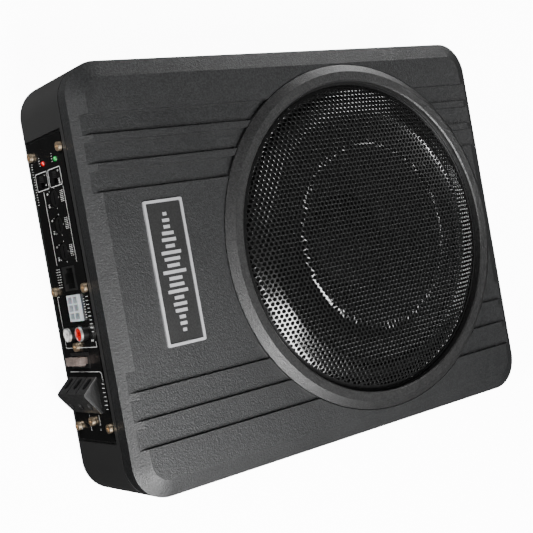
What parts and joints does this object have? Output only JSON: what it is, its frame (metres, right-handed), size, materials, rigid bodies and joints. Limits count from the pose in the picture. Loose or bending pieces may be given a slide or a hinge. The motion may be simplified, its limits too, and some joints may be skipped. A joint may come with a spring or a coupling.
{
  "type": "powered car subwoofer",
  "caption": "Slim powered car subwoofer: low black cabinet, bevelled lid with recessed bands, round stepped metal grille, and an end control panel with knobs, sockets, fuse and terminals.",
  "frame": {"origin": "centre of the casing's flat base", "axes": "+Z is the way the grille faces, +X runs along the cabinet away from the control panel, Y across it"},
  "size_m": [0.3229, 0.245, 0.0754],
  "materials": {
    "casing_black": "satin",
    "lid_black": "fine texture",
    "foam_black": "matt",
    "ring_grey": "fine texture",
    "grille_black": "semi-gloss",
    "badge_silver": "bright brushed",
    "zinc_yellow": "yellow zinc plate",
    "zinc_black": "black zinc",
    "basket_black": "satin",
    "plate_zinc": "clear zinc",
    "ferrite": "sintered",
    "copper_wire": "enamelled copper",
    "former_brown": "polyimide",
    "cone_paper": "pressed pulp",
    "rubber_black": "satin",
    "spider_cloth": "woven",
    "panel_black": "gloss",
    "plastic_black": "moulded",
    "knob_black": "moulded",
    "led_green": "clear tinted",
    "led_red": "clear tinted",
    "nylon_white": "moulded nylon",
    "insert_white": "moulded",
    "insert_red": "moulded",
    "nickel": "bright plate",
    "gold_contact": "plated",
    "fuse_clear": "clear tinted",
    "terminal_grey": "moulded",
    "board_green": "solder mask",
    "core_yellow": "enamelled winding",
    "can_blue": "sleeved can",
    "heatsink": "extruded",
    "wire_red": "insulated"
  },
  "bodies": {
    "cabinet": {"base_casing": "casing_black", "front_lid": "lid_black", "lid_gasket": "foam_black", "grille_ring": "ring_grey", "grille_mesh": "grille_black", "badge_frame": "badge_silver", "badge_plate": "lid_black", "lid_screws": "zinc_black", "driver_basket": "basket_black", "driver_screws": "zinc_black", "driver_gasket": "foam_black", "driver_terminal": "plastic_black", "back_plate": "plate_zinc", "ring_magnet": "ferrite", "top_plate": "plate_zinc", "pole_piece": "plate_zinc", "roll_surround": "rubber_black", "spider": "spider_cloth", "control_panel": "panel_black", "panel_screws": "zinc_yellow", "jack_screws": "zinc_yellow", "power_light": "led_green", "protect_light": "led_red", "input_switch_body": "plastic_black", "phase_switch_body": "plastic_black", "potentiometers": "plastic_black", "remote_jack": "plastic_black", "remote_jack_contacts": "gold_contact", "speaker_input_socket": "nylon_white", "speaker_input_pins": "nickel", "phono_block": "plastic_black", "left_phono_insert": "insert_white", "right_phono_insert": "insert_red", "phono_barrels": "nickel", "fuse_holder": "plastic_black", "terminal_block": "terminal_grey", "terminal_pins": "gold_contact", "control_board": "board_green", "amplifier_board": "board_green", "board_screws": "plate_zinc", "toroid_transformer": "core_yellow", "filter_capacitors": "can_blue", "heat_spreader": "heatsink", "power_transistors": "plastic_black", "driver_leads": "wire_red"},
    "level_knob": {"level_knob": "knob_black"},
    "crossover_knob": {"crossover_knob": "knob_black"},
    "bass_knob": {"bass_knob": "knob_black"},
    "input_switch_lever": {"input_switch_lever": "knob_black"},
    "phase_switch_lever": {"phase_switch_lever": "knob_black"},
    "cone_assembly": {"speaker_cone": "cone_paper", "dust_cap": "cone_paper", "coil_former": "former_brown", "voice_coil": "copper_wire"},
    "fuse": {"fuse_body": "fuse_clear", "fuse_blades": "nickel"},
    "clamp_screw_1": {"clamp_screw_1": "zinc_yellow"},
    "clamp_screw_2": {"clamp_screw_2": "zinc_yellow"},
    "clamp_screw_3": {"clamp_screw_3": "zinc_yellow"}
  },
  "joints": [
    {"name": "level_knob_turn", "type": "hinge", "parent": "cabinet", "child": "level_knob", "pos_m": [-0.1547, 0.0529, 0.027], "axis": [-1, 0, 0], "range_deg": [-135, 135]},
    {"name": "crossover_knob_turn", "type": "hinge", "parent": "cabinet", "child": "crossover_knob", "pos_m": [-0.1547, 0.0374, 0.027], "axis": [-1, 0, 0], "range_deg": [-135, 135]},
    {"name": "bass_knob_turn", "type": "hinge", "parent": "cabinet", "child": "bass_knob", "pos_m": [-0.1547, 0.022, 0.027], "axis": [-1, 0, 0], "range_deg": [-135, 135]},
    {"name": "input_switch_slide", "type": "slide", "parent": "cabinet", "child": "input_switch_lever", "axis": [0, -1, 0], "range_m": [0, 0.003]},
    {"name": "phase_switch_slide", "type": "slide", "parent": "cabinet", "child": "phase_switch_lever", "axis": [0, -1, 0], "range_m": [0, 0.003]},
    {"name": "cone_travel", "type": "slide", "parent": "cabinet", "child": "cone_assembly", "axis": [0, 0, 1], "range_m": [-0.004, 0.004], "stiffness_N_per_m": 1800, "deforming": ["roll_surround", "spider"]},
    {"name": "fuse_pull", "type": "slide", "parent": "cabinet", "child": "fuse", "axis": [-1, 0, 0], "range_m": [0, 0.016]},
    {"name": "clamp_screw_1_turn", "type": "hinge", "parent": "cabinet", "child": "clamp_screw_1", "pos_m": [-0.15833, -0.05622, 0.01], "axis": [-0.6524, 0.7579, 0], "range_deg": [0, 1080]},
    {"name": "clamp_screw_2_turn", "type": "hinge", "parent": "cabinet", "child": "clamp_screw_2", "pos_m": [-0.15833, -0.05622, 0.022], "axis": [-0.6524, 0.7579, 0], "range_deg": [0, 1080]},
    {"name": "clamp_screw_3_turn", "type": "hinge", "parent": "cabinet", "child": "clamp_screw_3", "pos_m": [-0.15833, -0.05622, 0.034], "axis": [-0.6524, 0.7579, 0], "range_deg": [0, 1080]}
  ]
}
